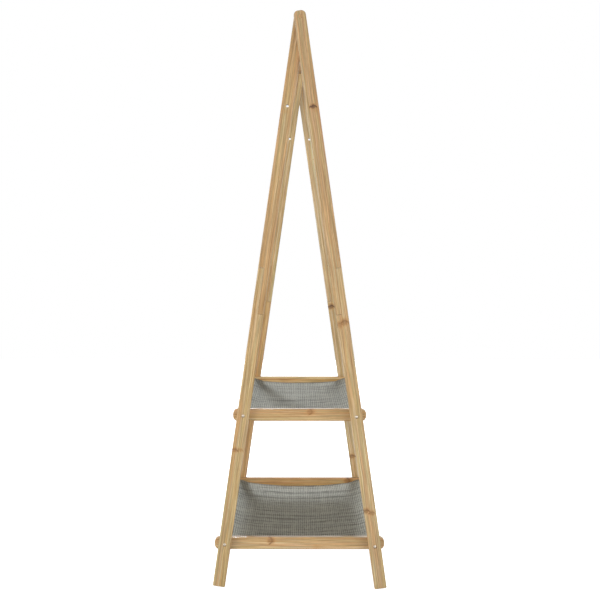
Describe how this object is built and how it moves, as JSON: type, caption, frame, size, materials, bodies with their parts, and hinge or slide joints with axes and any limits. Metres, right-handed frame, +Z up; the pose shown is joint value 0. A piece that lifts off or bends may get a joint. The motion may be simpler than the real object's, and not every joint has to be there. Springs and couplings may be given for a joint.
{
  "type": "ladder shelf",
  "caption": "Free-standing bamboo A-frame ladder shelf with a top hanging rail and woven fabric sling shelves on round rods, joined by recessed bolts.",
  "frame": {"origin": "bottom centre of the whole object's bounding box, on the floor", "axes": "+X across the A-frames towards the legs that lie outermost, +Y along the hanging rail, +Z up"},
  "size_m": [0.4518, 0.88, 1.5],
  "materials": {
    "bamboo_leg": "satin clear lacquer on laminated bamboo strips",
    "bamboo_crossbar": "satin clear lacquer on laminated bamboo strips",
    "bamboo_rod": "satin clear lacquer on turned bamboo",
    "woven_cloth": "matte ribbed grey weave",
    "zinc_steel": "bright zinc plate",
    "insert_brass": "plain turned brass"
  },
  "bodies": {
    "root": {"apex_bolt_far": "zinc_steel", "apex_bolt_near": "zinc_steel", "apex_plug_far": "bamboo_leg", "apex_plug_near": "bamboo_leg", "crossbar_far_lower": "bamboo_crossbar", "crossbar_far_upper": "bamboo_crossbar", "crossbar_near_lower": "bamboo_crossbar", "crossbar_near_upper": "bamboo_crossbar", "hanging_rail": "bamboo_rod", "lap_screw_far_left_lower": "zinc_steel", "lap_screw_far_left_upper": "zinc_steel", "lap_screw_far_right_lower": "zinc_steel", "lap_screw_far_right_upper": "zinc_steel", "lap_screw_near_left_lower": "zinc_steel", "lap_screw_near_left_upper": "zinc_steel", "lap_screw_near_right_lower": "zinc_steel", "lap_screw_near_right_upper": "zinc_steel", "leg_far_left_lower": "bamboo_leg", "leg_far_left_upper": "bamboo_leg", "leg_far_right_lower": "bamboo_leg", "leg_far_right_upper": "bamboo_leg", "leg_near_left_lower": "bamboo_leg", "leg_near_left_upper": "bamboo_leg", "leg_near_right_lower": "bamboo_leg", "leg_near_right_upper": "bamboo_leg", "rail_insert_far": "insert_brass", "rail_insert_near": "insert_brass", "rod_insert_lower_left_far": "insert_brass", "rod_insert_lower_left_near": "insert_brass", "rod_insert_lower_right_far": "insert_brass", "rod_insert_lower_right_near": "insert_brass", "rod_insert_upper_left_far": "insert_brass", "rod_insert_upper_left_near": "insert_brass", "rod_insert_upper_right_far": "insert_brass", "rod_insert_upper_right_near": "insert_brass", "shelf_bolt_far_lower_left": "zinc_steel", "shelf_bolt_far_lower_right": "zinc_steel", "shelf_bolt_far_upper_left": "zinc_steel", "shelf_bolt_far_upper_right": "zinc_steel", "shelf_bolt_near_lower_left": "zinc_steel", "shelf_bolt_near_lower_right": "zinc_steel", "shelf_bolt_near_upper_left": "zinc_steel", "shelf_bolt_near_upper_right": "zinc_steel", "shelf_rod_lower_left": "bamboo_rod", "shelf_rod_lower_right": "bamboo_rod", "shelf_rod_upper_left": "bamboo_rod", "shelf_rod_upper_right": "bamboo_rod", "sling_lower": "woven_cloth", "sling_upper": "woven_cloth", "spacer_far_lower": "bamboo_leg", "spacer_far_upper": "bamboo_leg", "spacer_near_lower": "bamboo_leg", "spacer_near_upper": "bamboo_leg"}
  },
  "joints": []
}
